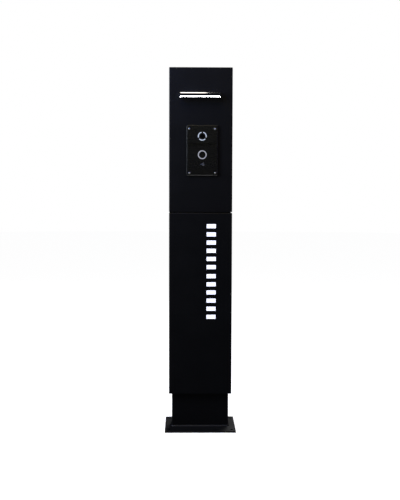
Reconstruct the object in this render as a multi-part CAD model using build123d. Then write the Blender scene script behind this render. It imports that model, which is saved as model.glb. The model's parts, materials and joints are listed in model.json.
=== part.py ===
from build123d import *
import math
import os

# Gate intercom post. Millimetres, +Z up, the front looks towards -Y.
# The origin is the centre of the base plate's underside.

# Base plate
base_reach_side = 12.5
base_reach_front = 60.0
base_thickness = 5.0
base_edge_break = 0.6
anchor_inset_x = 13.0
anchor_inset_y = 24.0
anchor_hole_diameter = 9.0
duct_cutout_width = 120.0
duct_cutout_depth = 36.0
duct_cutout_radius = 8.0

# Inner post, a welded box section closed by a plate, with a gap to the sleeve all round
post_gap = 7.5
post_wall = 3.0
post_corner_radius = 5.0
head_plate_thickness = 5.0

# Casings, folded from one gauge of sheet
casing_width = 200.0
casing_depth = 80.0
sheet = 2.0
fold_radius = 3.0
top_edge_break = 1.4
sleeve_clear_height = 112.0
sleeve_length = 579.0
head_length = 454.0

# Joint between the casings, which shows as a shadow gap
shadow_gap = 3.0
joint_plate_inset_side = 3.0
joint_plate_inset_front = 4.0
joint_plate_shift = -1.7
riser_width = 80.0
riser_depth = 30.0
head_bolt_diameter = 8.0
head_bolt_inset = 20.0
head_bolt_end = 4.5
head_bolt_head_width = 13.0
head_bolt_head_height = 5.3
weld_nut_height = 6.5

# Two screws and spacers that hold the sleeve at the back
sleeve_screw_diameter = 5.0
sleeve_screw_head_diameter = 9.5
sleeve_screw_head_height = 2.7
sleeve_screw_end = 5.0
sleeve_screw_inset = 30.0
sleeve_screw_rise = 36.0
spacer_side = 14.0

# Rear cover of the head, hooked in at the top and screwed on at the bottom
flange_width = 16.0
cover_side_margin = 6.0
cover_end_margin = 8.0
cover_radius = 4.0
cover_gasket_thickness = 1.0
cover_gasket_width = 4.0
cover_screw_diameter = 4.0
cover_screw_head_diameter = 7.6
cover_screw_head_height = 2.2
cover_screw_end = 3.0
cover_screw_inset = 5.0
cover_tongue_width = 20.0
cover_tongue_spacing = 110.0
cover_tongue_rise = 7.0

# Front plate of the intercom station
station_shift = 4.5
station_rise = 194.0
station_width = 99.0
station_height = 158.0
station_plate_thickness = 4.0
station_edge_chamfer = 2.0
station_corner_radius = 3.0
station_gasket_thickness = 1.0
station_gasket_inset = 1.0
station_lap_side = 2.5
station_lap_end = 5.0
station_screw_inset_side = 9.1
station_screw_inset_end = 10.0
station_screw_shift = -2.0
station_screw_diameter = 3.0
station_screw_head_diameter = 5.6
station_screw_head_height = 1.2
station_screw_grip = 11.0

# Back box of the station
back_box_gap = 0.5
back_box_wall = 1.5
back_box_depth = 46.0
back_box_flange = 9.0
corner_block = 13.6
pillar_side = 7.0
pillar_inset_side = 6.0
pillar_inset_end = 8.0
gland_hole_diameter = 16.4
gland_set_back = 24.0
gland_hexagon_margin = 2.0
gland_hexagon_height = 6.0
gland_cap_height = 10.0
gland_thread_reach = 8.0
gland_bore_diameter = 8.0
gland_nut_height = 4.0

# Camera and its status ring
camera_rise = 44.4
ring_mean_radius = 12.3
ring_stroke = 3.0
ring_arc_gap = 5.0
ring_arc_count = 3
ring_first_gap_angle = 90.0
window_radius = 6.5
window_flange = 1.3
window_recess = 0.4
lens_radius = 4.2
lens_reach = 3.0
lens_chamfer = 1.4
camera_body_side = 22.0
camera_body_height = 5.5
camera_barrel_radius = 7.0

# Call button, from its cap back to the switch
button_rise = -13.6
button_travel = 1.2
button_proud = 0.3
button_edge_break = 0.4
button_flange_reach = 1.0
button_flange_thickness = 1.0
button_stem_radius = 2.5
dome_wall = 0.8
dome_base_radius = 7.5
dome_top_radius = 4.0
switch_side = 6.0
switch_height = 3.4
switch_plunger_radius = 1.7
switch_plunger_height = 0.8

# Ring lights
ring_guide_flange = 1.5
ring_guide_base = 1.6
led_size = 2.0
led_height = 0.6
led_margin = 0.3
leds_per_ring = 6
board_thickness = 1.6

# Speaker, microphone and light sensor
speaker_rise = 16.6
speaker_band_width = 87.0
speaker_band_height = 13.0
speaker_band_depth = 1.2
speaker_slot_width = 1.4
speaker_slot_height = 8.0
speaker_slot_pitch = 3.2
speaker_slots_per_group = 7
speaker_slot_groups = 3
speaker_group_gap = 3.6
speaker_mesh_thickness = 0.3
speaker_mesh_height = 11.0
speaker_width = 40.0
speaker_height = 20.0
speaker_body_depth = 5.0
speaker_rim = 3.0
speaker_cone_depth = 2.5
speaker_cone_angle = 30.0
sensor_rise = -47.0
microphone_offset = -29.0
microphone_hole_diameter = 2.2
microphone_diameter = 6.0
microphone_depth = 3.0
light_sensor_offset = 28.0
light_sensor_hole_diameter = 1.6
light_sensor_side = 4.0
light_sensor_depth = 1.5

# Card reader
reader_rise = -44.1
reader_window_width = 93.0
reader_window_height = 22.0
reader_window_thickness = 2.0
reader_rib_width = 70.0
reader_rib_height = 15.0
antenna_gap = 3.0
antenna_height = 12.0
antenna_thickness = 1.0

# Main board
main_board_margin_side = 3.0
main_board_margin_end = 12.5
main_board_set_back = 10.0
pin_header_width = 60.0
pin_header_depth = 10.0
pin_header_height = 8.0
pin_header_rise = -42.0

# Bar lamp
lamp_shift = -2.3
lamp_drop = 87.0
lamp_width = 127.0
lamp_height = 14.6
lamp_reach = 18.0
lamp_wall = 2.0
lamp_back_wall = 3.0
lamp_edge_bevel = 3.0
lamp_gasket_thickness = 1.0
lamp_gasket_inset = 1.0
lamp_gasket_width = 2.0
lamp_screw_inset = 19.5
lamp_screw_diameter = 3.0
lamp_screw_grip = 12.0
lamp_screw_head_width = 5.5
lamp_screw_head_height = 2.0
lamp_boss_side = 6.8
lamp_boss_length = 8.0
lamp_cable_slot_width = 12.0
lamp_cable_slot_height = 5.0
lamp_diffuser_thickness = 2.0
lamp_diffuser_recess = 0.6
lamp_leds = 8

# Light ladder in the sleeve
light_shift = 34.0
light_drop = 186.5
light_bar_width = 29.0
light_bar_height = 13.0
light_bar_pitch = 26.0
light_bars_per_group = 6
light_group_gap = 16.0
diffuser_margin = 8.0
diffuser_thickness = 2.0
diffuser_proud = 0.3
light_gap = 1.2
light_board_thickness = 1.0
light_board_margin = 4.0
tray_sheet = 1.0
tray_tab = 14.0

# Supply and terminals on their bracket
bracket_margin = 16.0
bracket_height = 88.0
bracket_sheet = 2.0
bracket_bend_radius = 2.0
bracket_foot_width = 34.0
bracket_foot_margin = 2.0
bracket_arch_rise = 9.0
bracket_set_forward = 16.0
supply_width = 96.0
supply_height = 62.0
supply_depth = 28.0
supply_ear = 10.0
supply_ear_thickness = 2.0
supply_inset = 2.0
equipment_rise = 16.0
equipment_gap = 3.0
terminal_width = 34.0
terminal_height = 26.0
terminal_depth = 16.0
terminal_step = 6.0
terminal_ways = 6
terminal_mouth = 3.4

# Clearances
clearance = 0.3
screw_gap = 0.2
running_gap = 0.15
thread_gap = 0.05


# Widths and depths that follow from the casings
base_width = casing_width + 2 * base_reach_side
base_depth = casing_depth + 2 * base_reach_front
post_width = casing_width - 2 * (sheet + post_gap)
post_depth = casing_depth - 2 * (sheet + post_gap)
cover_width = casing_width - 2 * cover_side_margin
cover_height = head_length - 2 * cover_end_margin
bracket_width = casing_width - 2 * (sheet + bracket_margin)
station_opening_width = station_width - 2 * station_lap_side
station_opening_height = station_height - 2 * station_lap_end
box_width = station_opening_width - 2 * back_box_gap
box_height = station_opening_height - 2 * back_box_gap
main_board_width = box_width - 2 * (back_box_wall + main_board_margin_side)
main_board_height = box_height - 2 * (back_box_wall + main_board_margin_end)

# Heights, from the ground up
tube_top = sleeve_clear_height + sleeve_length - sheet - head_plate_thickness
head_plate_top = tube_top + head_plate_thickness
sleeve_top = head_plate_top + sheet
head_bottom = sleeve_top + shadow_gap
head_floor = head_bottom + sheet
head_top = head_bottom + head_length
head_middle = (head_bottom + head_top) / 2
station_centre = head_bottom + station_rise
lamp_centre = head_top - lamp_drop
light_centre = sleeve_top - light_drop

# Depths, from the front face back
front = -casing_depth / 2
front_inner = front + sheet
rear = casing_depth / 2
rear_inner = rear - sheet
station_back = front - station_gasket_thickness
station_face = station_back - station_plate_thickness
ring_guide_back = station_back + ring_guide_base
ring_board_front = ring_guide_back + led_height
main_board_front = front + main_board_set_back
main_board_back = main_board_front + board_thickness
cover_face = rear + cover_gasket_thickness + sheet

# Radii of the two rings
ring_inner = ring_mean_radius - ring_stroke / 2
ring_outer = ring_mean_radius + ring_stroke / 2
ring_guide_radius = ring_outer + ring_guide_flange


standing = (Align.CENTER, Align.MIN)
hanging = (Align.CENTER, Align.MAX)


def front_plane(y):
    # a sketch on this plane is drawn as seen from the front
    return Plane(origin=(0, y, 0), x_dir=(1, 0, 0), z_dir=(0, -1, 0))


def front_block(sketch, y_back, y_front):
    return extrude(front_plane(y_back) * sketch, amount=y_back - y_front)


def level_block(sketch, z_low, z_high):
    return extrude(Pos(0, 0, z_low) * sketch, amount=z_high - z_low)


def frame_shape(width, height, rim):
    return Rectangle(width, height) - Rectangle(width - 2 * rim, height - 2 * rim)


def discs(points, diameter):
    return Sketch() + [Pos(u, v) * Circle(diameter / 2) for u, v in points]


def pair(spacing, middle_x=0.0, middle_y=0.0):
    return [(middle_x + side * spacing / 2, middle_y) for side in (-1, 1)]


def four(spacing_x, spacing_y, middle_x=0.0, middle_y=0.0):
    ends = (-1, 1)
    return [(middle_x + i * spacing_x / 2, middle_y + j * spacing_y / 2) for i in ends for j in ends]


def hexagon(width):
    return RegularPolygon(width / 2, 6, major_radius=False)


def screw(head_shape, head_height, shank_diameter, shank_length):
    # the underside of the head is at the origin, the head above it
    shank = extrude(Circle(shank_diameter / 2), amount=-shank_length)
    return shank + extrude(head_shape, amount=head_height)


def nut(width, height, thread_diameter):
    return extrude(hexagon(width) - Circle(thread_diameter / 2 + thread_gap), amount=height)


def along_y(points, y, direction):
    # places for pieces whose own +Z then points along direction, 1 to the rear or -1 to the front
    return [
        Plane(origin=(x, y, z), x_dir=(1, 0, 0), z_dir=(0, direction, 0)).location for x, z in points
    ]


def group(places, piece):
    return Compound(children=[place * piece for place in places])


anchor_points = four(base_width - 2 * anchor_inset_x, base_depth - 2 * anchor_inset_y)
head_bolt_points = pair(post_width - 2 * head_bolt_inset)
sleeve_screw_points = pair(
    post_width - 2 * sleeve_screw_inset, 0, sleeve_clear_height + sleeve_screw_rise
)
cover_screw_points = pair(
    cover_width - 2 * cover_screw_inset, 0, head_bottom + cover_end_margin + cover_screw_inset
)
station_screw_points = four(
    station_width - 2 * station_screw_inset_side,
    station_height - 2 * station_screw_inset_end,
    station_shift,
    station_centre + station_screw_shift,
)
pillar_points = four(
    main_board_width - 2 * pillar_inset_side,
    main_board_height - 2 * pillar_inset_end,
    station_shift,
    station_centre,
)
camera_point = (station_shift, station_centre + camera_rise)
button_point = (station_shift, station_centre + button_rise)
microphone_point = (station_shift + microphone_offset, station_centre + sensor_rise)
light_sensor_point = (station_shift + light_sensor_offset, station_centre + sensor_rise)
lamp_screw_points = pair(lamp_width - 2 * lamp_screw_inset, lamp_shift, lamp_centre)

# What every plate in the joint lets through
riser = Rectangle(riser_width, riser_depth)
joint_holes = discs(head_bolt_points, head_bolt_diameter + 2 * screw_gap) + riser


# Base plate, inner post and the joint above it


def make_base_plate():
    plate = extrude(Rectangle(base_width, base_depth), amount=base_thickness)
    plate = chamfer(plate.edges().group_by(Axis.Z)[-1], base_edge_break)
    duct = RectangleRounded(duct_cutout_width, duct_cutout_depth, duct_cutout_radius)
    return plate - level_block(duct + discs(anchor_points, anchor_hole_diameter), 0, base_thickness)


def post_outline():
    return RectangleRounded(post_width, post_depth, post_corner_radius)


def make_inner_post():
    bore_width = post_width - 2 * post_wall
    bore_depth = post_depth - 2 * post_wall
    bore = RectangleRounded(bore_width, bore_depth, post_corner_radius - post_wall)
    post = level_block(post_outline() - bore, base_thickness, tube_top)
    tapped = discs(sleeve_screw_points, sleeve_screw_diameter + 2 * thread_gap)
    return post - front_block(tapped, post_depth / 2, post_depth / 2 - post_wall)


def make_post_head_plate():
    return level_block(post_outline() - joint_holes, tube_top, head_plate_top)


def make_weld_nuts():
    places = [Pos(x, y, tube_top - weld_nut_height) for x, y in head_bolt_points]
    return group(places, nut(head_bolt_head_width, weld_nut_height, head_bolt_diameter))


def make_joint_plate():
    width = casing_width - 2 * joint_plate_inset_side
    depth = casing_depth - 2 * joint_plate_inset_front
    outline = Pos(joint_plate_shift, 0) * Rectangle(width, depth)
    return level_block(outline - joint_holes, sleeve_top, head_bottom)


def make_head_bolts():
    # they also clamp the feet of the equipment bracket, and end below the weld nuts
    seat = head_floor + bracket_sheet
    length = seat - tube_top + weld_nut_height + head_bolt_end
    bolt = screw(hexagon(head_bolt_head_width), head_bolt_head_height, head_bolt_diameter, length)
    return group([Pos(x, y, seat) for x, y in head_bolt_points], bolt)


# Casings


def casing_block(z_low, z_high):
    block = level_block(RectangleRounded(casing_width, casing_depth, fold_radius), z_low, z_high)
    return chamfer(block.edges().group_by(Axis.Z)[-1], top_edge_break)


def casing_hollow(z_low, z_high):
    inner = RectangleRounded(casing_width - 2 * sheet, casing_depth - 2 * sheet, fold_radius - sheet)
    return level_block(inner, z_low, z_high)


light_group_length = (light_bars_per_group - 1) * light_bar_pitch + light_bar_height
ladder_height = 2 * light_group_length + light_group_gap
diffuser_width = light_bar_width + 2 * diffuser_margin
diffuser_height = ladder_height + 2 * diffuser_margin
diffuser_back = front_inner + diffuser_thickness
light_board_front = diffuser_back + light_gap + led_height
light_board_back = light_board_front + light_board_thickness
tray_width = diffuser_width + 2 * (clearance + tray_sheet)
tray_height = diffuser_height + 2 * (clearance + tray_sheet)
light_place = Pos(light_shift, light_centre)


def light_bar_rises():
    # two groups of bars, one above and one below the middle of the ladder
    first = (light_group_gap + light_bar_height) / 2
    return [side * (first + i * light_bar_pitch) for side in (-1, 1) for i in range(light_bars_per_group)]


def light_bars(shrink):
    bar = Rectangle(light_bar_width - 2 * shrink, light_bar_height - 2 * shrink)
    return Sketch() + [light_place * Pos(0, rise) * bar for rise in light_bar_rises()]


def make_lower_casing():
    casing = casing_block(sleeve_clear_height, sleeve_top)
    casing -= casing_hollow(sleeve_clear_height, sleeve_top - sheet)
    casing -= level_block(joint_holes, sleeve_top - sheet, sleeve_top)
    casing -= front_block(light_bars(0), front_inner, front)
    screw_holes = discs(sleeve_screw_points, sleeve_screw_diameter + 2 * screw_gap)
    return casing - front_block(screw_holes, rear, rear_inner)


access_width = casing_width - 2 * (sheet + flange_width)
access_height = head_length - 2 * (sheet + flange_width)
access_top = head_middle + access_height / 2


def lamp_cable_slot():
    return Pos(lamp_shift, lamp_centre) * Rectangle(lamp_cable_slot_width, lamp_cable_slot_height)


def make_upper_casing():
    casing = casing_block(head_bottom, head_top)
    casing -= casing_hollow(head_floor, head_top - sheet)
    casing -= level_block(joint_holes, head_bottom, head_floor)
    tapped = discs(cover_screw_points, cover_screw_diameter + 2 * thread_gap)
    access = Pos(0, head_middle) * Rectangle(access_width, access_height)
    casing -= front_block(access + tapped, rear, rear_inner)
    station_opening = Rectangle(station_opening_width, station_opening_height)
    front_openings = Pos(station_shift, station_centre) * station_opening + lamp_cable_slot()
    front_openings += discs(lamp_screw_points, lamp_screw_diameter + 2 * screw_gap)
    return casing - front_block(front_openings, front_inner, front)


def make_sleeve_spacers():
    outline = Rectangle(spacer_side, spacer_side) - Circle(sleeve_screw_diameter / 2 + screw_gap)
    spacer = extrude(outline, amount=rear_inner - post_depth / 2)
    return group(along_y(sleeve_screw_points, post_depth / 2, 1), spacer)


def make_sleeve_screws():
    head = Circle(sleeve_screw_head_diameter / 2)
    length = rear - post_depth / 2 + post_wall + sleeve_screw_end
    one = screw(head, sleeve_screw_head_height, sleeve_screw_diameter, length)
    return group(along_y(sleeve_screw_points, rear, 1), one)


def make_rear_cover():
    cover = Pos(0, head_middle) * RectangleRounded(cover_width, cover_height, cover_radius)
    cover -= discs(cover_screw_points, cover_screw_diameter + 2 * screw_gap)
    panel = front_block(cover, cover_face, cover_face - sheet)
    # two cranked tongues pass through the opening and reach up behind its top edge
    necks = Sketch() + [
        Pos(x, access_top - clearance) * Rectangle(cover_tongue_width, sheet, align=hanging)
        for x, z in pair(cover_tongue_spacing)
    ]
    tips = Sketch() + [
        Pos(x, access_top - clearance - sheet)
        * Rectangle(cover_tongue_width, cover_tongue_rise + sheet, align=standing)
        for x, z in pair(cover_tongue_spacing)
    ]
    tip_back = rear_inner - clearance
    panel += front_block(necks, cover_face - sheet, tip_back - sheet)
    return panel + front_block(tips, tip_back, tip_back - sheet)


def make_cover_gasket():
    # a foam strip round the access opening, inside the line of the screws
    width = access_width + 2 * cover_gasket_width
    height = access_height + 2 * cover_gasket_width
    ring = Pos(0, head_middle) * frame_shape(width, height, cover_gasket_width)
    return front_block(ring, rear + cover_gasket_thickness, rear)


def make_cover_screws():
    head = Circle(cover_screw_head_diameter / 2)
    length = cover_face - rear_inner + cover_screw_end
    one = screw(head, cover_screw_head_height, cover_screw_diameter, length)
    return group(along_y(cover_screw_points, cover_face, 1), one)


# Station: front plate, gasket, screws and back box


def at_station(sketch, rise=0.0, offset=0.0):
    return Pos(station_shift + offset, station_centre + rise) * sketch


def ring_arcs(shrink):
    # three arcs, with gaps at the top, lower left and lower right
    arcs = Circle(ring_outer - shrink) - Circle(ring_inner + shrink)
    gap = Rectangle(ring_outer, ring_arc_gap + 2 * shrink, align=(Align.MIN, Align.CENTER))
    for i in range(ring_arc_count):
        arcs -= Rot(0, 0, ring_first_gap_angle + 360 * i / ring_arc_count) * gap
    return Pos(*camera_point) * arcs


def speaker_slots():
    slot = Rectangle(speaker_slot_width, speaker_slot_height)
    group_pitch = speaker_slots_per_group * speaker_slot_pitch + speaker_group_gap
    slots = Sketch()
    for g in range(speaker_slot_groups):
        group_middle = (g - (speaker_slot_groups - 1) / 2) * group_pitch
        for i in range(speaker_slots_per_group):
            offset_x = group_middle + (i - (speaker_slots_per_group - 1) / 2) * speaker_slot_pitch
            slots += at_station(slot, speaker_rise, offset_x)
    return slots


def make_station_front_plate():
    outline = RectangleRounded(station_width, station_height, station_corner_radius)
    plate = front_block(at_station(outline), station_back, station_face)
    plate = chamfer(plate.edges().group_by(Axis.Y)[0], station_edge_chamfer)
    band = at_station(Rectangle(speaker_band_width, speaker_band_height), speaker_rise)
    plate -= front_block(band, station_face + speaker_band_depth, station_face)
    window = at_station(Rectangle(reader_window_width, reader_window_height), reader_rise)
    plate -= front_block(window, station_face + reader_window_thickness, station_face)
    through = discs(station_screw_points, station_screw_diameter + 2 * screw_gap)
    through += at_station(Rectangle(reader_rib_width, reader_rib_height), reader_rise)
    through += discs([camera_point], 2 * window_radius) + ring_arcs(0)
    through += discs([button_point], 2 * ring_outer)
    through += speaker_slots()
    return plate - front_block(through, station_back, station_face)


def make_station_gasket():
    # fills the lap of the plate, set in a little from its edge
    width = station_width - 2 * station_gasket_inset
    height = station_height - 2 * station_gasket_inset
    ring = Rectangle(width, height) - Rectangle(station_opening_width, station_opening_height)
    return front_block(at_station(ring), front, station_back)


def make_station_screws():
    head = Circle(station_screw_head_diameter / 2)
    length = front - station_face + station_screw_grip
    one = screw(head, station_screw_head_height, station_screw_diameter, length)
    return group(along_y(station_screw_points, station_face, -1), one)


box_back = front + back_box_depth
box_floor = station_centre - box_height / 2
gland_y = front + gland_set_back


def make_station_back_box():
    flange_width_all = station_opening_width + 2 * back_box_flange
    flange_height_all = station_opening_height + 2 * back_box_flange
    hollow = Rectangle(box_width - 2 * back_box_wall, box_height - 2 * back_box_wall)
    outline = at_station(Rectangle(box_width, box_height))
    block = Rectangle(corner_block, corner_block)
    blocks = (Sketch() + [Pos(*point) * block for point in station_screw_points]) & outline
    pillars = Sketch() + [Pos(*point) * Rectangle(pillar_side, pillar_side) for point in pillar_points]
    box = front_block(outline, box_back, front)
    box += front_block(
        at_station(Rectangle(flange_width_all, flange_height_all)), front_inner + back_box_wall, front_inner
    )
    box -= front_block(at_station(hollow), box_back - back_box_wall, front)
    box += front_block(blocks, box_back, front)
    box += front_block(pillars, box_back, main_board_back)
    thread = discs(station_screw_points, station_screw_diameter + 2 * thread_gap)
    box -= front_block(thread, front + station_screw_grip, front)
    gland_hole = Pos(station_shift, gland_y) * Circle(gland_hole_diameter / 2)
    return box - level_block(gland_hole, box_floor, box_floor + back_box_wall)


# Camera and ring lights


def make_status_ring():
    base_bore = window_radius + window_flange + running_gap
    base = Pos(*camera_point) * (Circle(ring_guide_radius) - Circle(base_bore))
    guide = front_block(base, ring_guide_back, station_back)
    return guide + front_block(ring_arcs(running_gap), station_back, station_face)


def make_camera_window():
    glass = discs([camera_point], 2 * (window_radius - running_gap))
    flange = discs([camera_point], 2 * (window_radius + window_flange))
    window = front_block(glass, station_back, station_face + window_recess)
    return window + front_block(flange, ring_guide_back, station_back)


def make_led_board(point):
    # its bore lets the button's flange pass
    bore_radius = ring_inner + button_flange_reach + clearance
    side = 2 * ring_guide_radius
    board = Pos(*point) * (Rectangle(side, side) - Circle(bore_radius))
    led = Pos(bore_radius + led_margin + led_size / 2, 0) * Rectangle(led_size, led_size)
    leds = Sketch() + [Rot(0, 0, 360 * i / leds_per_ring) * led for i in range(leds_per_ring)]
    solid = front_block(board, ring_board_front + board_thickness, ring_board_front)
    return solid + front_block(Pos(*point) * leds, ring_board_front, ring_guide_back)


camera_barrel_front = ring_guide_back + clearance


def make_camera_module():
    body_front = main_board_front - camera_body_height
    body = Pos(*camera_point) * Rectangle(camera_body_side, camera_body_side)
    module = front_block(body, main_board_front, body_front)
    barrel = discs([camera_point], 2 * camera_barrel_radius)
    module += front_block(barrel, body_front, camera_barrel_front)
    seat = discs([camera_point], 2 * (lens_radius + running_gap))
    return module - front_block(seat, camera_barrel_front + lens_reach, camera_barrel_front)


def make_camera_lens():
    glass = discs([camera_point], 2 * lens_radius)
    lens = front_block(glass, camera_barrel_front + lens_reach, camera_barrel_front)
    return chamfer(lens.edges().group_by(Axis.Y)[0], lens_chamfer)


# Call button: ring light, cap with its stem, return dome and switch

button_flange_front = ring_guide_back + clearance
button_flange_back = button_flange_front + button_flange_thickness
switch_front = main_board_front - switch_height
plunger_front = switch_front - switch_plunger_height
stem_end = plunger_front - button_travel - clearance


def make_button_ring():
    bore = discs([button_point], 2 * (ring_inner + running_gap))
    flange = discs([button_point], 2 * ring_guide_radius)
    ring = discs([button_point], 2 * (ring_outer - running_gap))
    guide = front_block(flange - bore, ring_guide_back, station_back)
    return guide + front_block(ring - bore, station_back, station_face)


def make_call_button():
    cap = discs([button_point], 2 * (ring_inner - running_gap))
    flange = discs([button_point], 2 * (ring_inner + button_flange_reach))
    stem = discs([button_point], 2 * button_stem_radius)
    button = front_block(cap, button_flange_front, station_face - button_proud)
    button = chamfer(button.edges().group_by(Axis.Y)[0], button_edge_break)
    button += front_block(flange, button_flange_back, button_flange_front)
    return button + front_block(stem, stem_end, button_flange_back)


def make_button_dome():
    # a thin silicone cone on the main board, its rim just behind the button's flange
    height = main_board_front - (button_flange_back + clearance)
    skin = Cone(dome_base_radius, dome_top_radius, height, align=(Align.CENTER, Align.CENTER, Align.MIN))
    hollow = Cone(
        dome_base_radius - dome_wall,
        dome_top_radius - dome_wall,
        height,
        align=(Align.CENTER, Align.CENTER, Align.MIN),
    )
    return group(along_y([button_point], main_board_front, -1), skin - hollow)


def make_button_switch():
    body = Pos(*button_point) * Rectangle(switch_side, switch_side)
    plunger = discs([button_point], 2 * switch_plunger_radius)
    switch = front_block(body, main_board_front, switch_front)
    return switch + front_block(plunger, switch_front, plunger_front)


# Speaker, microphone, light sensor and card reader

sensor_front = station_back + clearance


def make_speaker_mesh():
    cloth = at_station(Rectangle(speaker_band_width, speaker_mesh_height), speaker_rise)
    return front_block(cloth, station_back + speaker_mesh_thickness, station_back)


def make_speaker():
    speaker_front = station_back + speaker_mesh_thickness
    body = at_station(Rectangle(speaker_width, speaker_height), speaker_rise)
    cone = at_station(
        Rectangle(speaker_width - 2 * speaker_rim, speaker_height - 2 * speaker_rim), speaker_rise
    )
    solid = front_block(body, speaker_front + speaker_body_depth, speaker_front)
    return solid - extrude(
        front_plane(speaker_front) * cone, amount=-speaker_cone_depth, taper=speaker_cone_angle
    )


def make_microphone():
    return front_block(
        discs([microphone_point], microphone_diameter), sensor_front + microphone_depth, sensor_front
    )


def make_light_sensor():
    chip = Pos(*light_sensor_point) * Rectangle(light_sensor_side, light_sensor_side)
    return front_block(chip, sensor_front + light_sensor_depth, sensor_front)


def make_reader_window():
    outline = Rectangle(reader_window_width - 2 * running_gap, reader_window_height - 2 * running_gap)
    rib = Rectangle(reader_rib_width - 2 * running_gap, reader_rib_height - 2 * running_gap)
    step = station_face + reader_window_thickness
    window = front_block(at_station(outline, reader_rise), step, station_face)
    window += front_block(at_station(rib, reader_rise), station_back, step)
    holes = discs([microphone_point], microphone_hole_diameter)
    holes += discs([light_sensor_point], light_sensor_hole_diameter)
    return window - front_block(holes, station_back, station_face)


def make_reader_antenna():
    # lies between the microphone and the light sensor
    left = microphone_offset + microphone_diameter / 2 + antenna_gap
    right = light_sensor_offset - light_sensor_side / 2 - antenna_gap
    outline = at_station(Rectangle(right - left, antenna_height), reader_rise, (left + right) / 2)
    return front_block(outline, sensor_front + antenna_thickness, sensor_front)


# Main board and cable gland


def make_main_board():
    board = at_station(Rectangle(main_board_width, main_board_height))
    header = at_station(Rectangle(pin_header_width, pin_header_depth), pin_header_rise)
    solid = front_block(board, main_board_back, main_board_front)
    return solid + front_block(header, main_board_back + pin_header_height, main_board_back)


gland_place = Pos(station_shift, gland_y, box_floor)
gland_width = gland_hole_diameter + 2 * gland_hexagon_margin


def make_cable_gland():
    # hangs below the back box, with its thread up through the floor
    low = -gland_hexagon_height - gland_cap_height
    high = back_box_wall + gland_thread_reach
    gland = level_block(Circle(gland_hole_diameter / 2), low, -gland_hexagon_height)
    gland += level_block(hexagon(gland_width), -gland_hexagon_height, 0)
    gland += level_block(Circle(gland_hole_diameter / 2 - running_gap), 0, high)
    return gland_place * (gland - level_block(Circle(gland_bore_diameter / 2), low, high))


def make_gland_nut():
    ring = nut(gland_width, gland_nut_height, gland_hole_diameter - 2 * running_gap)
    return gland_place * Pos(0, 0, back_box_wall) * ring


# Bar lamp

lamp_back = front - lamp_gasket_thickness
lamp_front = front - lamp_reach
lamp_bottom = lamp_centre - lamp_height / 2
lamp_ceiling = lamp_centre + lamp_height / 2 - lamp_wall
lamp_pocket_front = lamp_front + lamp_wall
lamp_pocket_back = lamp_back - lamp_back_wall
lamp_pocket_middle = (lamp_pocket_front + lamp_pocket_back) / 2
lamp_pocket_width = lamp_width - 2 * lamp_wall


def lamp_pocket(gap):
    depth = lamp_pocket_back - lamp_pocket_front
    return Pos(lamp_shift, lamp_pocket_middle) * Rectangle(lamp_pocket_width - 2 * gap, depth - 2 * gap)


def make_lamp_housing():
    outline = Pos(lamp_shift, lamp_centre) * Rectangle(lamp_width, lamp_height)
    housing = front_block(outline, lamp_back, lamp_front)
    housing = chamfer(housing.edges().group_by(Axis.Y)[0], lamp_edge_bevel)
    housing -= level_block(lamp_pocket(0), lamp_bottom, lamp_ceiling)
    housing -= front_block(lamp_cable_slot(), lamp_back, lamp_pocket_back)
    boss_end = lamp_pocket_back - lamp_boss_length
    boss = Rectangle(lamp_boss_side, lamp_boss_side)
    bosses = Sketch() + [Pos(*point) * boss for point in lamp_screw_points]
    housing += front_block(bosses, lamp_pocket_back, boss_end)
    thread = discs(lamp_screw_points, lamp_screw_diameter + 2 * thread_gap)
    return housing - front_block(thread, lamp_back, boss_end)


def make_lamp_gasket():
    width = lamp_width - 2 * lamp_gasket_inset
    height = lamp_height - 2 * lamp_gasket_inset
    ring = Pos(lamp_shift, lamp_centre) * frame_shape(width, height, lamp_gasket_width)
    return front_block(ring, front, lamp_back)


def make_lamp_screws():
    one = screw(
        hexagon(lamp_screw_head_width), lamp_screw_head_height, lamp_screw_diameter, lamp_screw_grip
    )
    return group(along_y(lamp_screw_points, front_inner, 1), one)


def make_lamp_led_board():
    board_low = lamp_ceiling - board_thickness
    step = lamp_pocket_width / lamp_leds
    led = Rectangle(led_size, led_size)
    offsets = [(i - (lamp_leds - 1) / 2) * step for i in range(lamp_leds)]
    leds = Sketch() + [Pos(lamp_shift + offset, lamp_pocket_middle) * led for offset in offsets]
    board = level_block(lamp_pocket(clearance), board_low, lamp_ceiling)
    return board + level_block(leds, board_low - led_height, board_low)


def make_lamp_diffuser():
    low = lamp_bottom + lamp_diffuser_recess
    return level_block(lamp_pocket(running_gap), low, low + lamp_diffuser_thickness)


# Light ladder


def make_light_diffuser():
    # one opal plate with a raised bar standing in every opening of the sleeve
    outline = light_place * Rectangle(diffuser_width, diffuser_height)
    plate = front_block(outline, diffuser_back, front_inner)
    return plate + front_block(light_bars(running_gap), front_inner, front - diffuser_proud)


def make_light_led_board():
    width = diffuser_width - 2 * light_board_margin
    height = diffuser_height - 2 * light_board_margin
    board = front_block(light_place * Rectangle(width, height), light_board_back, light_board_front)
    led = Rectangle(led_size, led_size)
    leds = Sketch() + [light_place * Pos(0, rise) * led for rise in light_bar_rises()]
    return board + front_block(leds, light_board_front, light_board_front - led_height)


def make_light_tray():
    # a pressed tray whose end tabs are bonded to the sleeve
    tray_back = light_board_back + tray_sheet
    hollow = Rectangle(tray_width - 2 * tray_sheet, tray_height - 2 * tray_sheet)
    tabs = Rectangle(tray_tab, tray_height + 2 * tray_tab)
    tray = front_block(light_place * Rectangle(tray_width, tray_height), tray_back, front_inner)
    tray += front_block(light_place * tabs, front_inner + tray_sheet, front_inner)
    return tray - front_block(light_place * hollow, light_board_back, front_inner)


# Supply and terminals on a folded bracket

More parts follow.
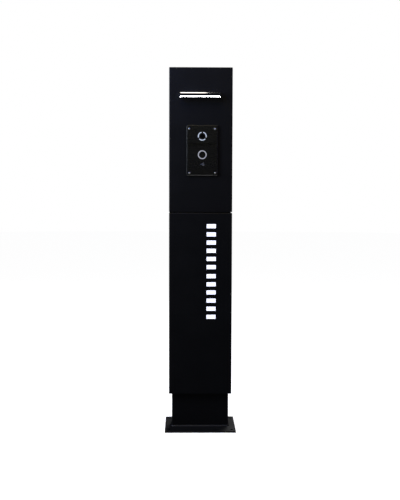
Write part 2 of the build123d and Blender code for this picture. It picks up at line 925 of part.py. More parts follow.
bracket_back = -bracket_set_forward
bracket_front = bracket_back - bracket_sheet
equipment_bottom = head_floor + equipment_rise
supply_middle = (supply_width - bracket_width) / 2 + supply_ear + supply_inset
supply_right = supply_middle + supply_width / 2 + supply_ear
terminal_middle = supply_right + equipment_gap + terminal_width / 2


def make_equipment_bracket():
    foot_end = head_bolt_head_width / 2 + bracket_foot_margin
    depth = foot_end - bracket_front
    arch_width = bracket_width - 2 * bracket_foot_width
    foot_top = head_floor + bracket_sheet
    upright = Pos(0, head_floor) * Rectangle(bracket_width, bracket_height, align=standing)
    foot = Pos(0, bracket_front) * Rectangle(bracket_width, depth, align=standing)
    arch = Pos(0, bracket_front) * Rectangle(arch_width, depth, align=standing)
    bracket = front_block(upright, bracket_back, bracket_front) + level_block(foot, head_floor, foot_top)
    outer_bend = bracket.edges().filter_by(Axis.X).group_by(Axis.Z)[0].sort_by(Axis.Y)[0]
    bracket = fillet(outer_bend, bracket_bend_radius)
    bracket -= level_block(arch, head_floor, head_floor + bracket_arch_rise)
    bolt_holes = discs(head_bolt_points, head_bolt_diameter + 2 * screw_gap)
    return bracket - level_block(bolt_holes, head_floor, foot_top)


def make_power_supply():
    place = Pos(supply_middle, equipment_bottom)
    case = place * Rectangle(supply_width, supply_height, align=standing)
    ears = place * Rectangle(supply_width + 2 * supply_ear, supply_height, align=standing)
    supply = front_block(case, bracket_back + supply_depth, bracket_back)
    return supply + front_block(ears, bracket_back + supply_ear_thickness, bracket_back)


def make_terminal_block():
    place = Pos(terminal_middle, equipment_bottom)
    low_face = bracket_back + terminal_depth - terminal_step
    high_face = bracket_back + terminal_depth
    low = place * Rectangle(terminal_width, terminal_height, align=standing)
    high = place * Rectangle(terminal_width, terminal_height / 2, align=standing)
    block = front_block(low, low_face, bracket_back) + front_block(high, high_face, bracket_back)
    way = terminal_width / terminal_ways
    mouth = Rectangle(terminal_mouth, terminal_mouth)
    mouths = Sketch() + [
        place * Pos((i - (terminal_ways - 1) / 2) * way, terminal_height / 4) * mouth
        for i in range(terminal_ways)
    ]
    return block - front_block(mouths, high_face, low_face)


makers = {
    "base_plate": make_base_plate,
    "inner_post": make_inner_post,
    "post_head_plate": make_post_head_plate,
    "weld_nuts": make_weld_nuts,
    "joint_plate": make_joint_plate,
    "head_bolts": make_head_bolts,
    "lower_casing": make_lower_casing,
    "upper_casing": make_upper_casing,
    "sleeve_spacers": make_sleeve_spacers,
    "sleeve_screws": make_sleeve_screws,
    "rear_cover": make_rear_cover,
    "cover_gasket": make_cover_gasket,
    "cover_screws": make_cover_screws,
    "station_front_plate": make_station_front_plate,
    "station_gasket": make_station_gasket,
    "station_screws": make_station_screws,
    "station_back_box": make_station_back_box,
    "status_ring": make_status_ring,
    "camera_window": make_camera_window,
    "camera_led_board": lambda: make_led_board(camera_point),
    "camera_module": make_camera_module,
    "camera_lens": make_camera_lens,
    "button_ring": make_button_ring,
    "button_led_board": lambda: make_led_board(button_point),
    "call_button": make_call_button,
    "button_dome": make_button_dome,
    "button_switch": make_button_switch,
    "speaker_mesh": make_speaker_mesh,
    "speaker": make_speaker,
    "microphone": make_microphone,
    "light_sensor": make_light_sensor,
    "reader_window": make_reader_window,
    "reader_antenna": make_reader_antenna,
    "main_board": make_main_board,
    "cable_gland": make_cable_gland,
    "gland_nut": make_gland_nut,
    "lamp_housing": make_lamp_housing,
    "lamp_gasket": make_lamp_gasket,
    "lamp_screws": make_lamp_screws,
    "lamp_led_board": make_lamp_led_board,
    "lamp_diffuser": make_lamp_diffuser,
    "light_diffuser": make_light_diffuser,
    "light_led_board": make_light_led_board,
    "light_tray": make_light_tray,
    "equipment_bracket": make_equipment_bracket,
    "power_supply": make_power_supply,
    "terminal_block": make_terminal_block,
}

os.makedirs("parts", exist_ok=True)
for name, make in makers.items():
    export_step(make(), f"parts/{name}.step")
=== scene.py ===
import json
import math

import bpy
import numpy as np
from mathutils import Matrix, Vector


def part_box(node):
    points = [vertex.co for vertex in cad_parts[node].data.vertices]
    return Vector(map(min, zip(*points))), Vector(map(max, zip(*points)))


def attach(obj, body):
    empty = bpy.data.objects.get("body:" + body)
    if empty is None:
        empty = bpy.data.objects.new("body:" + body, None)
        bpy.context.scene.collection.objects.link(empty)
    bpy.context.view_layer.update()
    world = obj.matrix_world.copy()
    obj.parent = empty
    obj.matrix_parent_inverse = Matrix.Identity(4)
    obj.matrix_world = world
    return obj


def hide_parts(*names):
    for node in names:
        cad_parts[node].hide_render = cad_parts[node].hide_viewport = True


# Looks of the gate intercom post. Metres, +Z up, the front faces -Y.
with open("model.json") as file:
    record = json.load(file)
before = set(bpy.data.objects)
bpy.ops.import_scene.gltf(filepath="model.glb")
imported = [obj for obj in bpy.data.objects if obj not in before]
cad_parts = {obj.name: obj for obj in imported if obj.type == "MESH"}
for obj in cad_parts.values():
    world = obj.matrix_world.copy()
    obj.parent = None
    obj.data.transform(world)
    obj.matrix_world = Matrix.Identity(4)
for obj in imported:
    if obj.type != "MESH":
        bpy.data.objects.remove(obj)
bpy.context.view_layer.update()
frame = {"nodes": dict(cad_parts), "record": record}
nodes = frame["nodes"]
bpy.context.scene.view_settings.view_transform = "Standard"
print("stage: frame loaded,", len(nodes), "nodes")

# The camera, worked out from the edges of the photograph
cameraSet = {
    "place": (-0.0541, -3.1059, 0.7715),
    "yaw": -0.0171,
    "pitch": 0.0645,
    "roll": -0.0027,
    "focalPixels": 968.2,
    "longSidePixels": 500,
    "sensor": 36.0,
}


def placeCamera():
    data = bpy.data.cameras.new("viewCamera")
    data.sensor_width = cameraSet["sensor"]
    data.lens = cameraSet["focalPixels"] / cameraSet["longSidePixels"] * cameraSet["sensor"]
    data.clip_start = 0.05
    data.clip_end = 60
    camera = bpy.data.objects.new("viewCamera", data)
    bpy.context.scene.collection.objects.link(camera)
    level = Matrix.Rotation(math.pi / 2, 4, "X")   # looks along +Y
    turn = Matrix.Rotation(cameraSet["yaw"], 4, "Z")
    nod = Matrix.Rotation(-cameraSet["pitch"], 4, "X")
    bank = Matrix.Rotation(cameraSet["roll"], 4, "Y")
    camera.matrix_world = Matrix.Translation(cameraSet["place"]) @ turn @ nod @ bank @ level
    bpy.context.scene.camera = camera


placeCamera()
print("stage: camera")

# Finishes


def startMaterial(name, color, metallic=0.0, roughness=0.5, **sockets):
    material = bpy.data.materials.new(name)
    material.use_nodes = True
    shader = material.node_tree.nodes["Principled BSDF"]
    shader.inputs["Base Color"].default_value = (*color, 1.0)
    shader.inputs["Metallic"].default_value = metallic
    shader.inputs["Roughness"].default_value = roughness
    for socket, value in sockets.items():
        shader.inputs[socket.replace("_", " ")].default_value = value
    return material, material.node_tree, shader


def objectPlace(tree, scale=(1.0, 1.0, 1.0)):
    coordinates = tree.nodes.new("ShaderNodeTexCoord")
    mapping = tree.nodes.new("ShaderNodeMapping")
    mapping.inputs["Scale"].default_value = scale
    tree.links.new(coordinates.outputs["Object"], mapping.inputs["Vector"])
    return mapping.outputs["Vector"]


def noiseField(tree, place, scale, detail=2.0, roughness=0.5):
    noise = tree.nodes.new("ShaderNodeTexNoise")
    noise.inputs["Scale"].default_value = scale
    noise.inputs["Detail"].default_value = detail
    noise.inputs["Roughness"].default_value = roughness
    tree.links.new(place, noise.inputs["Vector"])
    return noise.outputs["Fac"]


def spread(tree, field, low, high, fromLow=0.3, fromHigh=0.7):
    # a field from noise, stretched to run between two values
    span = tree.nodes.new("ShaderNodeMapRange")
    span.inputs["From Min"].default_value = fromLow
    span.inputs["From Max"].default_value = fromHigh
    span.inputs["To Min"].default_value = low
    span.inputs["To Max"].default_value = high
    tree.links.new(field, span.inputs["Value"])
    return span.outputs["Result"]


def mixColors(tree, field, first, second):
    ramp = tree.nodes.new("ShaderNodeValToRGB")
    ramp.color_ramp.elements[0].color = (*first, 1.0)
    ramp.color_ramp.elements[1].color = (*second, 1.0)
    tree.links.new(field, ramp.inputs["Fac"])
    return ramp.outputs["Color"]


def bumpFrom(tree, field, distance, strength=1.0, under=None):
    bump = tree.nodes.new("ShaderNodeBump")
    bump.inputs["Strength"].default_value = strength
    bump.inputs["Distance"].default_value = distance
    tree.links.new(field, bump.inputs["Height"])
    if under:
        tree.links.new(under, bump.inputs["Normal"])
    return bump.outputs["Normal"]


powderLook = {
    "color": (0.0012, 0.0013, 0.0018),
    "darker": (0.0011, 0.0012, 0.0016),
    "paler": (0.0013, 0.0014, 0.0020),
    "roughness": 0.5,
    "specular": 0.2,
    "roughSpan": (0.47, 0.54),
    "cloud": 5.0,
    "smudge": 15.0,
    "peel": 900.0,
    "peelDepth": 0.00004,
    "grain": 3500.0,
    "grainDepth": 0.00001,
}


def powderBlack():
    # satin black powder coat: orange peel of about 1 mm, a finer grain on it, soft dust clouds
    look = powderLook
    material, tree, shader = startMaterial(
        "powderBlack", look["color"], roughness=look["roughness"], Specular_IOR_Level=look["specular"]
    )
    place = objectPlace(tree)
    cloud = spread(tree, noiseField(tree, place, look["cloud"], detail=4.0), 0.0, 1.0)
    tree.links.new(mixColors(tree, cloud, look["darker"], look["paler"]), shader.inputs["Base Color"])
    rough = spread(tree, noiseField(tree, place, look["smudge"], detail=5.0), *look["roughSpan"])
    tree.links.new(rough, shader.inputs["Roughness"])
    peel = bumpFrom(tree, noiseField(tree, place, look["peel"]), look["peelDepth"], 0.5)
    grain = bumpFrom(tree, noiseField(tree, place, look["grain"]), look["grainDepth"], 0.4, peel)
    tree.links.new(grain, shader.inputs["Normal"])
    return material


def anodised(name, color, roughness):
    # dark anodised sheet with fine lengthwise brushing
    material, tree, shader = startMaterial(name, color, roughness=roughness)
    place = objectPlace(tree, (60.0, 60.0, 4000.0))
    lines = noiseField(tree, place, 1.0, detail=3.0)
    paler = tuple(c * 1.18 for c in color)
    darker = tuple(c * 0.85 for c in color)
    tree.links.new(mixColors(tree, spread(tree, lines, 0.0, 1.0), darker, paler), shader.inputs["Base Color"])
    rough = spread(tree, lines, roughness - 0.04, roughness + 0.05)
    tree.links.new(rough, shader.inputs["Roughness"])
    tree.links.new(bumpFrom(tree, lines, 0.00001, 0.3), shader.inputs["Normal"])
    return material


def metal(name, color, roughness, grainScale=(400.0, 400.0, 400.0), depth=0.000015):
    material, tree, shader = startMaterial(name, color, metallic=1.0, roughness=roughness)
    grain = noiseField(tree, objectPlace(tree, grainScale), 1.0, detail=3.0)
    tree.links.new(spread(tree, grain, roughness * 0.8, roughness * 1.3), shader.inputs["Roughness"])
    tree.links.new(bumpFrom(tree, grain, depth, 0.4), shader.inputs["Normal"])
    return material


def moulded(name, color, roughness, textureScale=1500.0, **sockets):
    # moulded plastic or rubber with a fine eroded grain
    material, tree, shader = startMaterial(name, color, roughness=roughness, **sockets)
    place = objectPlace(tree)
    tone = noiseField(tree, place, 40.0, detail=3.0)
    paler = tuple(min(1.0, c * 1.12) for c in color)
    darker = tuple(c * 0.9 for c in color)
    tree.links.new(mixColors(tree, spread(tree, tone, 0.0, 1.0), darker, paler), shader.inputs["Base Color"])
    rough = spread(tree, noiseField(tree, place, textureScale / 4), roughness - 0.05, roughness + 0.06)
    tree.links.new(rough, shader.inputs["Roughness"])
    grain = noiseField(tree, place, textureScale)
    tree.links.new(bumpFrom(tree, grain, 0.00002, 0.5), shader.inputs["Normal"])
    return material


def litOpal(name, color, glow, strength, mottle=0.08):
    # opal acrylic that glows evenly, a little uneven over the lights behind it
    material, tree, shader = startMaterial(name, color, roughness=0.35)
    place = objectPlace(tree)
    field = noiseField(tree, place, 60.0, detail=1.0)
    low = tuple(c * (1.0 - mottle) for c in glow)
    glowColor = mixColors(tree, spread(tree, field, 0.0, 1.0), low, glow)
    tree.links.new(glowColor, shader.inputs["Emission Color"])
    shader.inputs["Emission Strength"].default_value = strength
    return material


def darkGlass(name, color, roughness):
    material, tree, shader = startMaterial(
        name, color, roughness=roughness, Coat_Weight=0.6, Coat_Roughness=0.05
    )
    smear = noiseField(tree, objectPlace(tree), 90.0, detail=4.0)
    tree.links.new(spread(tree, smear, roughness * 0.8, roughness * 1.4), shader.inputs["Roughness"])
    return material


finishes = {
    "powder_black": powderBlack(),
    "station_metal": anodised("stationAnodised", (0.0026, 0.0026, 0.0023), 0.28),
    "button_metal": anodised("buttonAnodised", (0.0026, 0.0026, 0.0023), 0.28),
    "zinc_steel": metal("zincSteel", (0.55, 0.56, 0.57), 0.38),
    "bright_steel": metal("brightSteel", (0.62, 0.62, 0.63), 0.3),
    "black_screws": metal("blackZinc", (0.02, 0.02, 0.022), 0.4),
    "polished_bar": metal("polishedBar", (0.85, 0.85, 0.86), 0.06, (30.0, 900.0, 900.0)),
    "tray_aluminium": metal("millAluminium", (0.7, 0.7, 0.72), 0.35, (900.0, 900.0, 30.0)),
    "lit_opal": litOpal("litOpal", (0.85, 0.87, 0.95), (0.83, 0.86, 1.0), 1.15),
    "lit_ring_cool": litOpal("ringCool", (0.3, 0.33, 0.36), (0.34, 0.38, 0.43), 1.0),
    "lit_ring_neutral": litOpal("ringNeutral", (0.3, 0.3, 0.3), (0.2, 0.2, 0.205), 1.0),
    "opal": moulded("opalPlastic", (0.8, 0.8, 0.79), 0.4),
    "dark_glass": darkGlass("windowGlass", (0.0012, 0.0012, 0.0014), 0.08),
    "lens_glass": darkGlass("lensGlass", (0.004, 0.003, 0.008), 0.03),
    "window_plastic": moulded("windowPlastic", (0.0038, 0.0038, 0.0035), 0.26),
    "black_plastic": moulded("blackPlastic", (0.018, 0.018, 0.018), 0.5),
    "terminal_grey": moulded("terminalGrey", (0.36, 0.38, 0.37), 0.45),
    "board_green": moulded("boardGreen", (0.015, 0.11, 0.05), 0.35),
    "board_white": moulded("boardWhite", (0.75, 0.75, 0.73), 0.35),
    "seal_rubber": moulded("sealRubber", (0.022, 0.022, 0.022), 0.7),
}

for part in frame["record"]["subparts"]:
    node = nodes[part["node"]]
    node.data.materials.clear()
    node.data.materials.append(finishes[part["material_slot"]])
print("stage: finishes")

# New pieces: surfaces worked out as grids of points
sharpAngle = 32   # degrees between faces, above which an edge is drawn sharp


def skinFaces(rows, count, closedPath):
    # quads of a grid that is closed round its second parameter, and round its path where asked
    steps = np.arange(rows if closedPath else rows - 1)
    row, column = np.meshgrid(steps, np.arange(count), indexing="ij")
    ahead = (row + 1) % rows
    beside = (column + 1) % count
    corners = [row * count + column, ahead * count + column, ahead * count + beside, row * count + beside]
    return np.stack(corners, -1).reshape(-1, 4).tolist()


def skinWithEnds(grid):
    # an open grid of rings, each end closed by a fan round its middle point
    rows, count = grid.shape[:2]
    first = rows * count
    ring = np.arange(count)
    beside = (ring + 1) % count
    start = np.stack([np.full(count, first), ring, beside], -1).tolist()
    last = ring + (rows - 1) * count
    end = np.stack([np.full(count, first + 1), beside + (rows - 1) * count, last], -1).tolist()
    points = np.concatenate([grid.reshape(-1, 3), grid[0].mean(0)[None], grid[-1].mean(0)[None]])
    return points, skinFaces(rows, count, False) + start + end


def cornersOf(node):
    # a node's lowest and highest corners as arrays
    return [np.array(corner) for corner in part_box(node)]


def makePiece(name, parts, slot, finish=None):
    # joins point and face lists into one mesh that rides on the post
    points = np.concatenate([part[0] for part in parts])
    faces = []
    offset = 0
    for part in parts:
        faces += [[corner + offset for corner in face] for face in part[1]]
        offset += len(part[0])
    mesh = bpy.data.meshes.new(name)
    mesh.from_pydata(points.tolist(), [], faces)
    mesh.polygons.foreach_set("use_smooth", np.full(len(mesh.polygons), True))
    mesh.materials.append(finish or finishes[slot])
    piece = bpy.data.objects.new(name, mesh)
    bpy.context.scene.collection.objects.link(piece)
    mesh.set_sharp_from_angle(angle=math.radians(sharpAngle))
    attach(piece, "post")
    return piece


# Screws. Widths and lengths in millimetres
screwSorts = {
    "station": {"head": 5.6, "height": 1.2, "edge": 0.55, "sides": 0, "recess": 2.9, "sink": 0.8,
                "shank": 3.0, "length": 16.0, "pitch": 0.5},
    "cover": {"head": 7.6, "height": 2.2, "edge": 0.9, "sides": 0, "recess": 3.9, "sink": 1.5,
              "shank": 4.0, "length": 8.0, "pitch": 0.7},
    "sleeve": {"head": 9.5, "height": 2.7, "edge": 1.1, "sides": 0, "recess": 4.8, "sink": 1.8,
               "shank": 5.0, "length": 17.5, "pitch": 0.8},
    "headBolt": {"head": 13.0, "height": 5.3, "edge": 5.3, "sides": 6, "recess": 7.0, "sink": 0.5,
                 "shank": 8.0, "length": 25.0, "pitch": 1.25},
    "lamp": {"head": 5.5, "height": 2.0, "edge": 2.0, "sides": 6, "recess": 3.0, "sink": 0.3,
             "shank": 3.0, "length": 12.0, "pitch": 0.5},
    "board": {"head": 5.5, "height": 2.0, "edge": 1.0, "sides": 0, "recess": 2.9, "sink": 1.1,
              "shank": 3.0, "length": 7.0, "pitch": 0.5},
}
screwGrid = {"around": 48, "perTurn": 5, "threadDepth": 0.42, "lobeDepth": 0.13, "chamferSlope": 0.577,
             "chamferStart": 0.95, "crownReach": 0.97, "rimDrop": 0.06, "underBreak": 0.08, "plainEnd": 0.3}


def screwSkin(look):
    # Rings down the screw, radius by angle. The head's edge is round, or the apothem over the cosine
    # of the angle from the nearest flat. The recess is a circle with a cosine of six lobes on it. The
    # head's top falls with the square of the radius, or as a cone outside the chamfer. The thread is
    # a triangle wave of height over pitch plus angle over a turn, and it dies out at both ends.
    own = screwGrid
    around = np.linspace(0.0, 2 * math.pi, own["around"], endpoint=False)
    half = look["head"] / 2
    if look["sides"]:
        sector = 2 * math.pi / look["sides"]
        edge = half / np.cos(around % sector - sector / 2)
        lobes = np.ones_like(around)
    else:
        edge = np.full_like(around, half)
        lobes = 1.0 - own["lobeDepth"] * (0.5 - 0.5 * np.cos(6 * around))

    def top(radius):
        if look["sides"]:
            fall = own["chamferSlope"] * np.maximum(radius - own["chamferStart"] * half, 0.0)
        else:
            fall = (look["height"] - look["edge"]) * (radius / half) ** 2
        return look["height"] - fall

    # the recess, the crown, the edge of the head and its underside
    recess = look["recess"] / 2 * lobes
    floor = look["height"] - look["sink"]
    crown = np.minimum(edge, own["crownReach"] * half)
    flat = np.zeros_like(around)
    rings = [(recess * 0.35, flat + floor - 0.1), (recess * 0.94, flat + floor),
             (recess, flat + floor + 0.1), (recess, top(recess) - 0.05), (recess + 0.06, top(recess))]
    for share in (0.35, 0.65, 0.85, 1.0):
        radius = recess + (crown - recess) * share
        rings.append((radius, top(radius)))
    rings.append((edge, top(edge) - own["rimDrop"]))
    rings.append((edge, flat + own["underBreak"]))
    rings.append((edge - own["underBreak"], flat))
    # the shank and its thread
    shank = look["shank"] / 2
    rings.append((flat + shank, flat))
    start, end = own["plainEnd"], look["length"] - own["plainEnd"]
    depth = own["threadDepth"] * look["pitch"]
    turns = (look["length"] - 2 * own["plainEnd"]) / look["pitch"]
    for down in np.linspace(start, end, int(turns * own["perTurn"])):
        wave = np.abs(2 * ((down / look["pitch"] + around / (2 * math.pi)) % 1.0) - 1.0)
        fade = max(min(1.0, (down - start) / look["pitch"], (end - down) / look["pitch"]), 0.0)
        rings.append((shank - depth * wave * fade, flat - down))
    rings.append((flat + shank - depth, flat - look["length"]))
    radius, height = (np.stack(column) for column in zip(*rings))
    grid = np.stack([radius * np.cos(around), radius * np.sin(around), height], -1)
    return skinWithEnds(grid * 0.001)


def turned(points, towards):
    # the screw's own +Z turned to the front, to the rear or left upward
    x, y, z = points.T
    ways = {"front": (x, -z, y), "rear": (-x, z, y), "up": (x, y, z)}
    return np.stack(ways[towards], -1)


def placeScrews(name, sort, seats, towards, slot, replaced=None):
    points, faces = screwSkin(screwSorts[sort])
    own = turned(points, towards)
    piece = makePiece(name, [(own + np.array(seat), faces) for seat in seats], slot)
    if replaced:
        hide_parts(replaced)


def endSeats(node, towards, sort):
    # the seats of a row of screws, from the corners of the node that they stand for
    low, high = cornersOf(node)
    look = screwSorts[sort]
    upright = look["head"] / 2000
    sideways = upright / (math.cos(math.pi / 6) if look["sides"] else 1.0)
    height = look["height"] / 1000
    xs = (low[0] + sideways, high[0] - sideways)
    if towards == "up":
        return [(x, (low[1] + high[1]) / 2, high[2] - height) for x in xs]
    y = low[1] + height if towards == "front" else high[1] - height
    zs = (low[2] + upright, high[2] - upright)
    if zs[1] - zs[0] < look["head"] / 2000:   # a single row
        zs = ((low[2] + high[2]) / 2,)
    return [(x, y, z) for x in xs for z in zs]


cadScrews = {
    "stationScrews": ("station_screws", "station", "front", "bright_steel"),
    "coverScrews": ("cover_screws", "cover", "rear", "black_screws"),
    "sleeveScrews": ("sleeve_screws", "sleeve", "rear", "black_screws"),
    "headBolts": ("head_bolts", "headBolt", "up", "zinc_steel"),
    "lampScrews": ("lamp_screws", "lamp", "rear", "zinc_steel"),
}
for name, (node, sort, towards, slot) in cadScrews.items():
    placeScrews(name, sort, endSeats(node, towards, sort), towards, slot, node)

# Small screws in the corners of the main board, and in the ears of the supply
boardScrewSet = {"boardInset": (0.006, 0.008), "earInset": (0.005, 0.010), "earThickness": 0.002}


def cornerSeats(node, insets, y):
    low, high = cornersOf(node)
    insetX, insetZ = insets
    xs = (low[0] + insetX, high[0] - insetX)
    zs = (low[2] + insetZ, high[2] - insetZ)
    return [(x, y, z) for x in xs for z in zs]


boardFront = cornersOf("main_board")[0][1]
placeScrews("mainBoardScrews", "board", cornerSeats("main_board", boardScrewSet["boardInset"], boardFront),
            "front", "zinc_steel")
earBack = cornersOf("power_supply")[0][1] + boardScrewSet["earThickness"]
placeScrews("supplyScrews", "board", cornerSeats("power_supply", boardScrewSet["earInset"], earBack),
            "rear", "zinc_steel")
print("stage: screws")


def roundedPath(width, depth, radius, count):
    # A rectangle with round corners, walked at an even pace: corner centres plus the radius times
    # the outward direction, which is returned with the points and the distance walked.
    quarter = np.linspace(0.0, math.pi / 2, 9)
    angle = np.concatenate([quarter + turn * math.pi / 2 for turn in range(4)])
    sideX = np.repeat([1.0, -1.0, -1.0, 1.0], 9) * (width / 2 - radius)
    sideY = np.repeat([1.0, 1.0, -1.0, -1.0], 9) * (depth / 2 - radius)
    corner = np.stack([sideX + radius * np.cos(angle), sideY + radius * np.sin(angle)], -1)
    corner = np.concatenate([corner, corner[:1]])
    angle = np.append(angle, 2 * math.pi)
    walked = np.append(0.0, np.cumsum(np.linalg.norm(np.diff(corner, axis=0), axis=1)))
    pace = np.linspace(0.0, walked[-1], count, endpoint=False)
    point = np.stack([np.interp(pace, walked, corner[:, i]) for i in range(2)], -1)
    heading = np.interp(pace, walked, angle)
    return point, np.stack([np.cos(heading), np.sin(heading)], -1), pace


footWeldSet = {"leg": 0.0036, "ripple": 0.0028, "rippleShare": 0.07, "rippleLag": 1.6, "sunk": 0.0004,
               "cornerRadius": 0.005, "along": 900, "across": 8, "waves": ((7, 0.05), (19, 0.03))}


def footWeld():
    # A fillet bead round the post's foot: its section is a quarter turn whose radius is the leg less a
    # fifth of the sine of twice the angle, and crescents run along it as a cosine of the path.
    look = footWeldSet
    low, high = cornersOf("inner_post")
    point, outward, pace = roundedPath(*(high - low)[:2], look["cornerRadius"], look["along"])
    turns = round(pace[-1] / look["ripple"])
    length = pace[-1] + pace[1]
    angle = np.linspace(0.0, math.pi / 2, look["across"])
    phase = 2 * math.pi * turns * pace[:, None] / length + look["rippleLag"] * np.sin(2 * angle)[None, :]
    slow = 1.0 + sum(share * np.sin(2 * math.pi * waves * pace / length) for waves, share in look["waves"])
    bead = look["leg"] * (1.0 - 0.2 * np.sin(2 * angle))[None, :] * slow[:, None]
    bead = bead * (1.0 + look["rippleShare"] * np.cos(phase))
    # a last column, sunk into the post and the plate, closes the section
    hidden = np.full((look["along"], 1), -look["sunk"])
    away = np.concatenate([bead * np.cos(angle), hidden], 1)
    rise = np.concatenate([bead * np.sin(angle), hidden], 1)
    place = point[:, None, :] + outward[:, None, :] * away[:, :, None]
    grid = np.concatenate([place, (low[2] + rise)[:, :, None]], -1)
    makePiece("footWeld", [(grid.reshape(-1, 3), skinFaces(look["along"], look["across"] + 1, True))],
              "powder_black")


footWeld()
print("stage: foot weld")

lampInlaySet = {"bevel": 0.003, "rim": 0.00015, "proud": 0.00035, "sunk": 0.0001, "round": 0.00015,
                "cornerRadius": 0.0006, "along": 240}


def lampInlay():
    # a thin black strip on the flat front of the bar: the same rounded outline at five depths, drawn
    # in by the round of its edge
    look = lampInlaySet
    low, high = cornersOf("lamp_housing")
    width = high[0] - low[0] - 2 * (look["bevel"] + look["rim"])
    height = high[2] - low[2] - 2 * (look["bevel"] + look["rim"])
    point, outward, _ = roundedPath(width, height, look["cornerRadius"], look["along"])
    drawnIn = np.array([0.0, 0.0, 0.3, 1.0, 2.0]) * look["round"]
    depth = np.array([-look["sunk"], look["proud"] - look["round"], look["proud"] - 0.4 * look["round"],
                      look["proud"] - 0.05 * look["round"], look["proud"]])
    flat = point[None] - outward[None] * drawnIn[:, None, None]
    across = flat[:, :, 0] + (low[0] + high[0]) / 2
    upward = flat[:, :, 1] + (low[2] + high[2]) / 2
    forward = np.broadcast_to(low[1] - depth[:, None], across.shape)
    points, faces = skinWithEnds(np.stack([across, forward, upward], -1))
    makePiece("lampInlay", [(points, [face[::-1] for face in faces])], "powder_black")


lampInlay()

signPrint = moulded("signPrint", (0.13, 0.13, 0.132), 0.5)
waveSignSet = {"dotOffset": (-0.0048, 0.0004), "dotRadius": 0.0010, "firstRadius": 0.0028, "step": 0.0036,
               "count": 3, "stroke": 0.0013, "opening": 66.0, "proud": 0.00015, "along": 28, "round": 12}


def waveSign():
    # A printed dot and three arcs that open to the right. Each arc carries a flat oval section round
    # its centre, the dot's rings shrink from its radius to nothing.
    look = waveSignSet
    low, high = cornersOf("reader_window")
    offsetX, offsetZ = look["dotOffset"]
    middle = ((low[0] + high[0]) / 2 + offsetX, low[1], (low[2] + high[2]) / 2 + offsetZ)
    turn = np.linspace(0.0, 2 * math.pi, look["round"], endpoint=False)
    parts = []
    for index in range(look["count"]):
        sweep = np.radians(np.linspace(-look["opening"] / 2, look["opening"] / 2, look["along"]))
        radius = look["firstRadius"] + index * look["step"] + np.cos(turn) * look["stroke"] / 2
        across = middle[0] + radius[None, :] * np.cos(sweep)[:, None]
        upward = middle[2] + radius[None, :] * np.sin(sweep)[:, None]
        forward = np.broadcast_to(middle[1] - np.sin(turn) * look["proud"], across.shape)
        parts.append(skinWithEnds(np.stack([across, forward, upward], -1)))
    share = np.array([1.0, 1.0, 0.8, 0.3])[:, None] * look["dotRadius"]
    depth = np.array([-1.0, 0.4, 0.9, 1.0]) * look["proud"]
    across = middle[0] + share * np.cos(turn)
    upward = middle[2] + share * np.sin(turn)
    forward = np.broadcast_to(middle[1] - depth[:, None], across.shape)
    points, faces = skinWithEnds(np.stack([across, forward, upward], -1))
    parts.append((points, [face[::-1] for face in faces]))
    makePiece("waveSign", parts, "window_plastic", signPrint)


waveSign()
print("stage: inlay and sign")

# Stage: floor, world and soft lights
stageSet = {
    "floorRadius": 14.0,
    "floorSteps": 96,
    "floorGlow": 0.975,
    "floorTone": 0.7,
    "bounceTone": 0.1,
    "roomTone": (0.012, 0.012, 0.014),
}


def placeFloor():
    # a flat disc, radius by angle
    rings = np.linspace(0.0, 1.0, 3)[1:] * stageSet["floorRadius"]
    angles = np.linspace(0.0, 2 * math.pi, stageSet["floorSteps"] + 1)[:-1]
    radius, angle = np.meshgrid(rings, angles, indexing="ij")
    points = np.stack([radius * np.cos(angle), radius * np.sin(angle), 0 * angle], -1).reshape(-1, 3)
    count = len(angles)
    inner = np.arange(count)
    after = (inner + 1) % count
    faces = np.stack([inner, inner + count, after + count, after], -1).tolist()
    faces.append(inner.tolist())
    mesh = bpy.data.meshes.new("floor")
    mesh.from_pydata(points.tolist(), [], faces)
    floor = bpy.data.objects.new("floor", mesh)
    bpy.context.scene.collection.objects.link(floor)

    material = bpy.data.materials.new("paleFloor")
    material.use_nodes = True
    tree = material.node_tree
    tree.nodes.clear()
    output = tree.nodes.new("ShaderNodeOutputMaterial")
    # the camera sees a glow of nearly white plus the light that falls on the floor, less the shadow
    tone = stageSet["floorTone"]
    seenFloor = tree.nodes.new("ShaderNodeBsdfDiffuse")
    seenFloor.inputs["Color"].default_value = (tone, tone, tone, 1.0)
    white = tree.nodes.new("ShaderNodeEmission")
    white.inputs["Strength"].default_value = stageSet["floorGlow"]
    seen = tree.nodes.new("ShaderNodeAddShader")
    tree.links.new(seenFloor.outputs["BSDF"], seen.inputs[0])
    tree.links.new(white.outputs["Emission"], seen.inputs[1])
    # what the post itself is lit by and mirrors is a dim floor
    bounce = tree.nodes.new("ShaderNodeBsdfDiffuse")
    bounce.inputs["Color"].default_value = (*(stageSet["bounceTone"],) * 3, 1.0)
    rays = tree.nodes.new("ShaderNodeLightPath")
    blend = tree.nodes.new("ShaderNodeMixShader")
    tree.links.new(rays.outputs["Is Camera Ray"], blend.inputs["Fac"])
    tree.links.new(bounce.outputs["BSDF"], blend.inputs[1])
    tree.links.new(seen.outputs["Shader"], blend.inputs[2])
    tree.links.new(blend.outputs["Shader"], output.inputs["Surface"])
    mesh.materials.append(material)


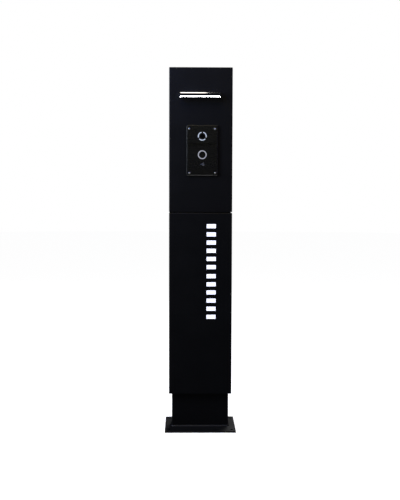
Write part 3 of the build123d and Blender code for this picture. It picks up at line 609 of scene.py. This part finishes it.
def placeWorld():
    # white behind the post for the camera, a dim room for everything else
    world = bpy.data.worlds.new("studio")
    world.use_nodes = True
    bpy.context.scene.world = world
    tree = world.node_tree
    tree.nodes.clear()
    output = tree.nodes.new("ShaderNodeOutputWorld")
    room = tree.nodes.new("ShaderNodeBackground")
    white = tree.nodes.new("ShaderNodeBackground")
    white.inputs["Color"].default_value = (1.0, 1.0, 1.0, 1.0)
    room.inputs["Color"].default_value = (*stageSet["roomTone"], 1.0)
    rays = tree.nodes.new("ShaderNodeLightPath")
    seen = tree.nodes.new("ShaderNodeMath")
    seen.operation = "MAXIMUM"
    tree.links.new(rays.outputs["Is Camera Ray"], seen.inputs[0])
    tree.links.new(rays.outputs["Is Transmission Ray"], seen.inputs[1])
    blend = tree.nodes.new("ShaderNodeMixShader")
    tree.links.new(seen.outputs["Value"], blend.inputs["Fac"])
    tree.links.new(room.outputs["Background"], blend.inputs[1])
    tree.links.new(white.outputs["Background"], blend.inputs[2])
    tree.links.new(blend.outputs["Shader"], output.inputs["Surface"])


lights = {
    "frontSoftbox": {"place": (-0.4, -6.0, 2.6), "aim": (0.0, 0.0, 0.8), "size": (3.0, 0.8),
                     "power": 9.4, "color": (1.0, 0.96, 0.6)},
    "topSoftbox": {"place": (-0.3, -0.55, 2.4), "aim": (0.0, -0.1, 0.5), "size": (0.9, 0.8),
                   "power": 16.5, "color": (1.0, 0.85, 0.5)},
    "nearTopSoftbox": {"place": (-0.5, -0.35, 1.5), "aim": (0.0, -0.05, 0.95), "size": (0.4, 0.3),
                       "power": 6.2, "color": (0.15, 0.28, 1.0)},
    "leftSoftbox": {"place": (-1.2, -0.5, 1.3), "aim": (0.0, 0.0, 1.0), "size": (0.4, 0.8),
                    "power": 23.0, "color": (0.76, 0.86, 1.0)},
    "rightSoftbox": {"place": (2.0, -1.2, 1.4), "aim": (0.0, 0.0, 0.9), "size": (0.8, 1.2),
                     "power": 14.0, "color": (0.62, 0.56, 1.0)},
    "rearSoftbox": {"place": (0.9, 2.6, 2.4), "aim": (0.0, 0.0, 0.6), "size": (1.6, 1.2),
                    "power": 26.0, "color": (1.0, 1.0, 1.0)},
    # two weak panels with a narrow spread, above and below, for the bar's bevels to mirror
    "ceilingPanel": {"place": (-0.22, 0.05, 2.25), "aim": (-0.2, 0.0, 1.0), "size": (0.5, 0.5),
                     "power": 0.17, "color": (1.0, 0.93, 0.84), "spread": 60.0},
    "floorPanel": {"place": (0.03, -0.165, 0.006), "aim": (0.03, -0.155, 1.0), "size": (0.3, 0.06),
                   "power": 0.03, "color": (1.0, 1.0, 1.0), "spread": 24.0},
}
openSpread = 180.0   # degrees, for a light that isn't narrowed


def placeLights():
    for name, light in lights.items():
        data = bpy.data.lights.new(name, "AREA")
        data.shape = "RECTANGLE"
        data.size, data.size_y = light["size"]
        data.energy = light["power"]
        data.color = light["color"]
        data.spread = math.radians(light.get("spread", openSpread))
        lamp = bpy.data.objects.new(name, data)
        bpy.context.scene.collection.objects.link(lamp)
        lamp.location = light["place"]
        away = lamp.location - Matrix.Translation(light["aim"]).to_translation()
        lamp.visible_camera = False
        lamp.rotation_euler = away.to_track_quat("Z", "Y").to_euler()


placeFloor()
placeWorld()
placeLights()
print("stage: floor, world and lights")
